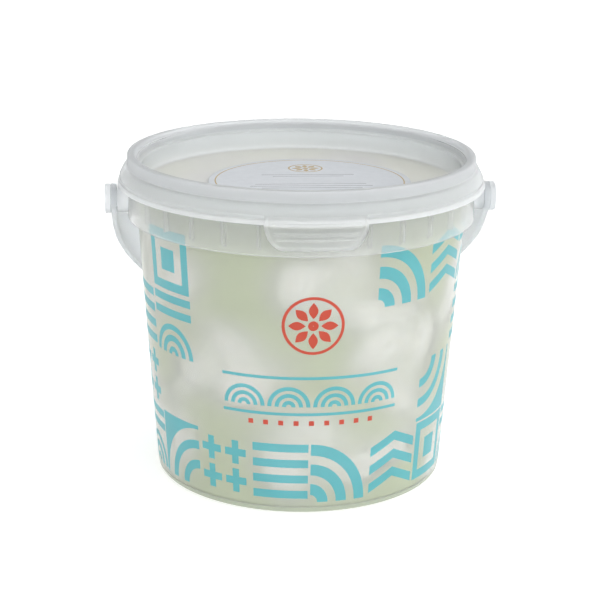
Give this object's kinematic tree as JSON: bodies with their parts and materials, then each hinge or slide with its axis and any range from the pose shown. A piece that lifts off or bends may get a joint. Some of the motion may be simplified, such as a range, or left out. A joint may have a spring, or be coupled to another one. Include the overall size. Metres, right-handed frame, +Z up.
{
  "type": "lidded pail of mozzarella knots",
  "caption": "Round translucent plastic pail with a press-on lid, front pull tab and swing handle, shut over white mozzarella knots in pale whey, with a plain printed wall.",
  "frame": {"origin": "middle of the base, on the plane that the foot ring stands on", "axes": "+Z up along the pail's axis, -Y towards the pull tab at the front, X along the handle's pivots"},
  "size_m": [0.1422, 0.1347, 0.1189],
  "materials": {
    "pail_plastic": "natural translucent plastic, satin",
    "lid_plastic": "natural translucent plastic, satin",
    "handle_plastic": "natural translucent plastic, satin",
    "paper": "coated white paper",
    "cheese": "moist, milk white, finely fibrous"
  },
  "bodies": {
    "pail": {"pail": "pail_plastic", "lid": "lid_plastic", "lid_disc": "paper", "mozzarella_knots": "cheese"},
    "handle": {"handle": "handle_plastic"}
  },
  "joints": [
    {"name": "handle_swing", "type": "hinge", "parent": "pail", "child": "handle", "pos_m": [0, 0, 0.102], "axis": [1, 0, 0], "range_deg": [0, 264]}
  ]
}
